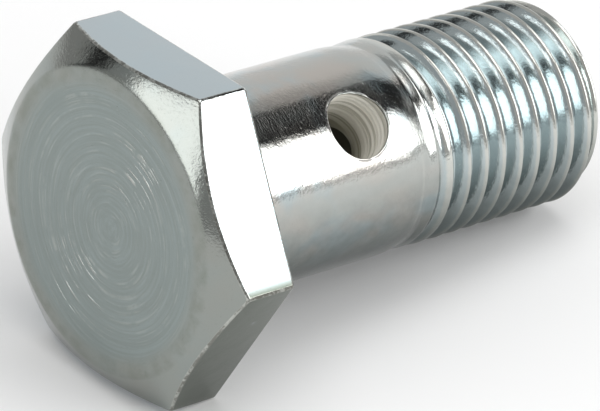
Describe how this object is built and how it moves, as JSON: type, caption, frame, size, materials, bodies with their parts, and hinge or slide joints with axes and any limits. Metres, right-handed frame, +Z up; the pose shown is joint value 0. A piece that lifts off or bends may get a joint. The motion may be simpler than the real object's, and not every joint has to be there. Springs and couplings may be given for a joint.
{
  "type": "banjo bolt",
  "caption": "Hex-head banjo bolt in zinc-plated steel: plain shank with a cross hole that meets an axial bore, and a fine metric thread to the end.",
  "frame": {"origin": "middle of the bounding box in X and Y, on the surface that the bolt lies on", "axes": "+X level, from the head to the thread end, +Y level, +Z up. The bolt's own axis slopes down 7.45 degrees towards +X"},
  "size_m": [0.0382, 0.0254, 0.0224],
  "materials": {
    "zinc_plated_steel": "bright zinc plating with a faint blue passivation, turned head face"
  },
  "bodies": {
    "root": {"banjo_bolt": "zinc_plated_steel"}
  },
  "joints": []
}
